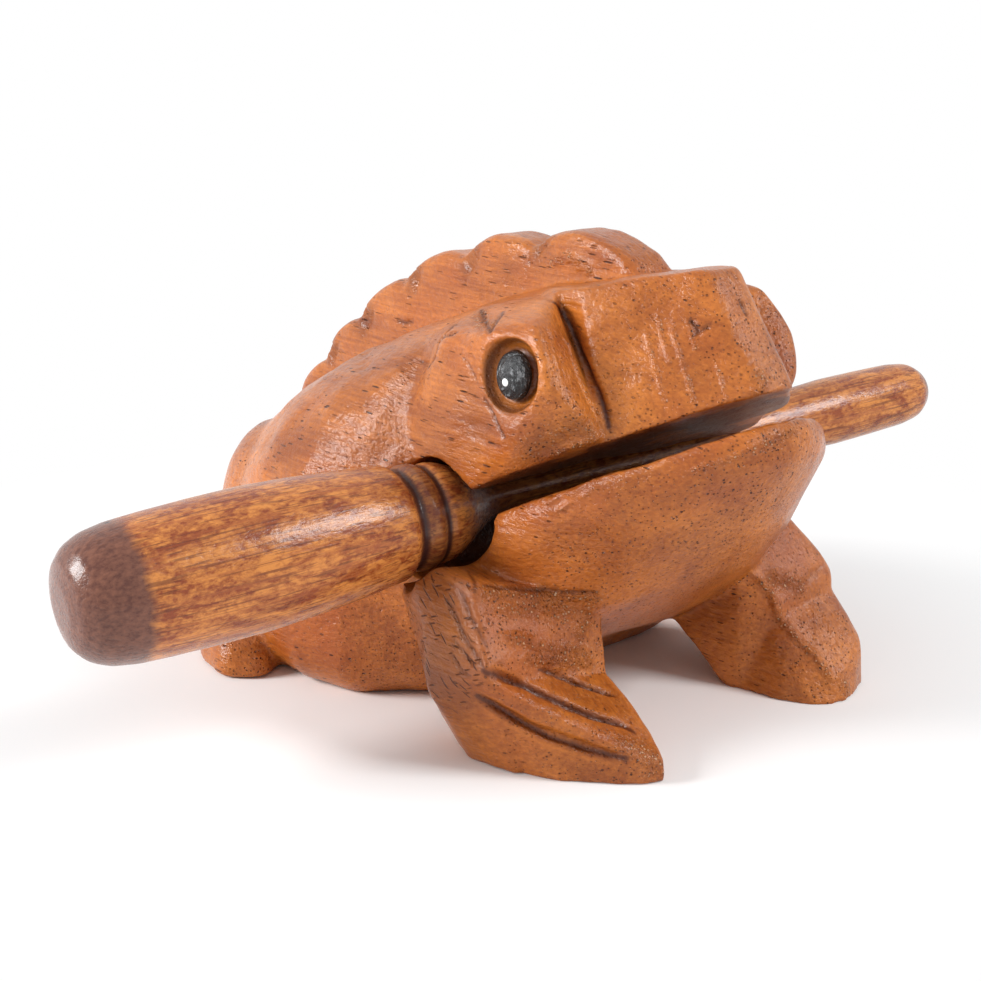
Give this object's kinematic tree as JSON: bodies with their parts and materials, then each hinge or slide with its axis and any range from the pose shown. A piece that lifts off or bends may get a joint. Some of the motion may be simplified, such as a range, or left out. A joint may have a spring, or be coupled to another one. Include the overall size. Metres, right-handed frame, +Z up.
{
  "type": "frog guiro",
  "caption": "Carved wooden frog rasp with a scalloped spine ridge, an open mouth cut into a bore across its head, and a turned striker stick resting in the bore.",
  "frame": {"origin": "on the floor under the middle of the flat belly, in the frog's middle plane", "axes": "+Z up, -Y the way the frog looks, +X towards the frog's left"},
  "size_m": [0.1505, 0.1209, 0.0696],
  "materials": {
    "frog_wood": "thin satin lacquer over carved hardwood",
    "stick_wood": "glossy mottled stain"
  },
  "bodies": {
    "root": {"frog_body": "frog_wood", "striker_stick": "stick_wood"}
  },
  "joints": []
}
